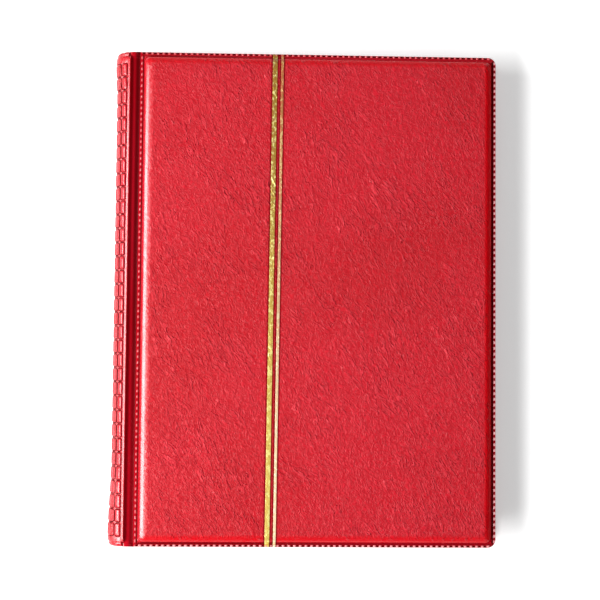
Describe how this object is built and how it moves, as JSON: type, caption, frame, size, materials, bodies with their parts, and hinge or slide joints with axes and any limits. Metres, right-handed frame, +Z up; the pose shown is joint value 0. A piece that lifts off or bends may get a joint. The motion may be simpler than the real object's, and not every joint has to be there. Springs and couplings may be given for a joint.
{
  "type": "stamp album",
  "caption": "Padded red leatherette stamp stockbook, A4 format, with a rounded spine, two gold rules, black pocketed leaves and glassine interleaves; it opens flat at its middle.",
  "frame": {"origin": "centre of the underside of the closed album, on the surface that it lies on", "axes": "+X from the spine to the fore edge, +Y along the spine to the head, +Z up through the thickness to the front cover"},
  "size_m": [0.237, 0.305, 0.025],
  "materials": {
    "cover_vinyl": "gloss",
    "lining_vinyl": "satin",
    "gold_foil": "gloss",
    "padding_foam": "matte",
    "grey_board": "matte",
    "black_card": "matte",
    "clear_film": "gloss",
    "glassine": "satin",
    "black_linen": "matte"
  },
  "bodies": {
    "back_cover": {"back_cover_skin": "cover_vinyl", "back_cover_foam": "padding_foam", "back_cover_board": "grey_board", "back_cover_lining": "lining_vinyl", "back_hinge_groove": "cover_vinyl"},
    "spine": {"spine_skin": "cover_vinyl", "spine_board": "grey_board", "spine_lining": "lining_vinyl", "stitched_binding": "black_linen", "binding_web": "black_linen"},
    "front_cover": {"front_cover_skin": "cover_vinyl", "front_cover_foam": "padding_foam", "front_cover_board": "grey_board", "front_cover_lining": "lining_vinyl", "front_hinge_groove": "cover_vinyl", "gold_rule_wide": "gold_foil", "gold_rule_narrow": "gold_foil"},
    "leaf_1": {"leaf_1_card": "black_card", "leaf_1_pocket_strips": "clear_film", "leaf_1_linen_guard": "black_linen"},
    "leaf_2": {"leaf_2_card": "black_card", "leaf_2_pocket_strips": "clear_film", "leaf_2_linen_guard": "black_linen"},
    "leaf_3": {"leaf_3_card": "black_card", "leaf_3_pocket_strips": "clear_film", "leaf_3_linen_guard": "black_linen"},
    "leaf_4": {"leaf_4_card": "black_card", "leaf_4_pocket_strips": "clear_film", "leaf_4_linen_guard": "black_linen"},
    "leaf_5": {"leaf_5_card": "black_card", "leaf_5_pocket_strips": "clear_film", "leaf_5_linen_guard": "black_linen"},
    "leaf_6": {"leaf_6_card": "black_card", "leaf_6_pocket_strips": "clear_film", "leaf_6_linen_guard": "black_linen"},
    "leaf_7": {"leaf_7_card": "black_card", "leaf_7_pocket_strips": "clear_film", "leaf_7_linen_guard": "black_linen"},
    "leaf_8": {"leaf_8_card": "black_card", "leaf_8_pocket_strips": "clear_film", "leaf_8_linen_guard": "black_linen"},
    "interleaf_1": {"glassine_interleaf_1": "glassine"},
    "interleaf_2": {"glassine_interleaf_2": "glassine"},
    "interleaf_3": {"glassine_interleaf_3": "glassine"},
    "interleaf_4": {"glassine_interleaf_4": "glassine"},
    "interleaf_5": {"glassine_interleaf_5": "glassine"},
    "interleaf_6": {"glassine_interleaf_6": "glassine"},
    "interleaf_7": {"glassine_interleaf_7": "glassine"}
  },
  "joints": [
    {"name": "back_groove_hinge", "type": "hinge", "parent": "back_cover", "child": "spine", "pos_m": [-0.11, 0, 0.0046], "axis": [0, -1, 0], "range_deg": [0, 90]},
    {"name": "front_groove_hinge", "type": "hinge", "parent": "spine", "child": "front_cover", "pos_m": [-0.11, 0, 0.0204], "axis": [0, -1, 0], "range_deg": [0, 90]},
    {"name": "leaf_1_turn", "type": "hinge", "parent": "spine", "child": "leaf_1", "pos_m": [-0.1021, 0, 0.0125], "axis": [0, -1, 0], "range_deg": [-90, 90]},
    {"name": "leaf_2_turn", "type": "hinge", "parent": "spine", "child": "leaf_2", "pos_m": [-0.1021, 0, 0.0125], "axis": [0, -1, 0], "range_deg": [-90, 90]},
    {"name": "leaf_3_turn", "type": "hinge", "parent": "spine", "child": "leaf_3", "pos_m": [-0.1021, 0, 0.0125], "axis": [0, -1, 0], "range_deg": [-90, 90]},
    {"name": "leaf_4_turn", "type": "hinge", "parent": "spine", "child": "leaf_4", "pos_m": [-0.1021, 0, 0.0125], "axis": [0, -1, 0], "range_deg": [-90, 90]},
    {"name": "leaf_5_turn", "type": "hinge", "parent": "spine", "child": "leaf_5", "pos_m": [-0.1021, 0, 0.0125], "axis": [0, -1, 0], "range_deg": [-90, 90]},
    {"name": "leaf_6_turn", "type": "hinge", "parent": "spine", "child": "leaf_6", "pos_m": [-0.1021, 0, 0.0125], "axis": [0, -1, 0], "range_deg": [-90, 90]},
    {"name": "leaf_7_turn", "type": "hinge", "parent": "spine", "child": "leaf_7", "pos_m": [-0.1021, 0, 0.0125], "axis": [0, -1, 0], "range_deg": [-90, 90]},
    {"name": "leaf_8_turn", "type": "hinge", "parent": "spine", "child": "leaf_8", "pos_m": [-0.1021, 0, 0.0125], "axis": [0, -1, 0], "range_deg": [-90, 90]},
    {"name": "interleaf_1_turn", "type": "hinge", "parent": "spine", "child": "interleaf_1", "pos_m": [-0.1021, 0, 0.0125], "axis": [0, -1, 0], "range_deg": [-90, 90]},
    {"name": "interleaf_2_turn", "type": "hinge", "parent": "spine", "child": "interleaf_2", "pos_m": [-0.1021, 0, 0.0125], "axis": [0, -1, 0], "range_deg": [-90, 90]},
    {"name": "interleaf_3_turn", "type": "hinge", "parent": "spine", "child": "interleaf_3", "pos_m": [-0.1021, 0, 0.0125], "axis": [0, -1, 0], "range_deg": [-90, 90]},
    {"name": "interleaf_4_turn", "type": "hinge", "parent": "spine", "child": "interleaf_4", "pos_m": [-0.1021, 0, 0.0125], "axis": [0, -1, 0], "range_deg": [-90, 90]},
    {"name": "interleaf_5_turn", "type": "hinge", "parent": "spine", "child": "interleaf_5", "pos_m": [-0.1021, 0, 0.0125], "axis": [0, -1, 0], "range_deg": [-90, 90]},
    {"name": "interleaf_6_turn", "type": "hinge", "parent": "spine", "child": "interleaf_6", "pos_m": [-0.1021, 0, 0.0125], "axis": [0, -1, 0], "range_deg": [-90, 90]},
    {"name": "interleaf_7_turn", "type": "hinge", "parent": "spine", "child": "interleaf_7", "pos_m": [-0.1021, 0, 0.0125], "axis": [0, -1, 0], "range_deg": [-90, 90]}
  ],
  "couplings": [
    {"joint": "front_groove_hinge", "follows": "back_groove_hinge", "ratio": 1},
    {"joint": "leaf_1_turn", "follows": "back_groove_hinge", "ratio": -0.99333},
    {"joint": "leaf_2_turn", "follows": "back_groove_hinge", "ratio": -0.98444},
    {"joint": "leaf_3_turn", "follows": "back_groove_hinge", "ratio": -0.97556},
    {"joint": "leaf_4_turn", "follows": "back_groove_hinge", "ratio": -0.96667},
    {"joint": "leaf_5_turn", "follows": "back_groove_hinge", "ratio": 0.96667},
    {"joint": "leaf_6_turn", "follows": "back_groove_hinge", "ratio": 0.97556},
    {"joint": "leaf_7_turn", "follows": "back_groove_hinge", "ratio": 0.98444},
    {"joint": "leaf_8_turn", "follows": "back_groove_hinge", "ratio": 0.99333},
    {"joint": "interleaf_1_turn", "follows": "back_groove_hinge", "ratio": -0.98889},
    {"joint": "interleaf_2_turn", "follows": "back_groove_hinge", "ratio": -0.98},
    {"joint": "interleaf_3_turn", "follows": "back_groove_hinge", "ratio": -0.97111},
    {"joint": "interleaf_4_turn", "follows": "back_groove_hinge", "ratio": -0.95778},
    {"joint": "interleaf_5_turn", "follows": "back_groove_hinge", "ratio": 0.97111},
    {"joint": "interleaf_6_turn", "follows": "back_groove_hinge", "ratio": 0.98},
    {"joint": "interleaf_7_turn", "follows": "back_groove_hinge", "ratio": 0.98889}
  ]
}
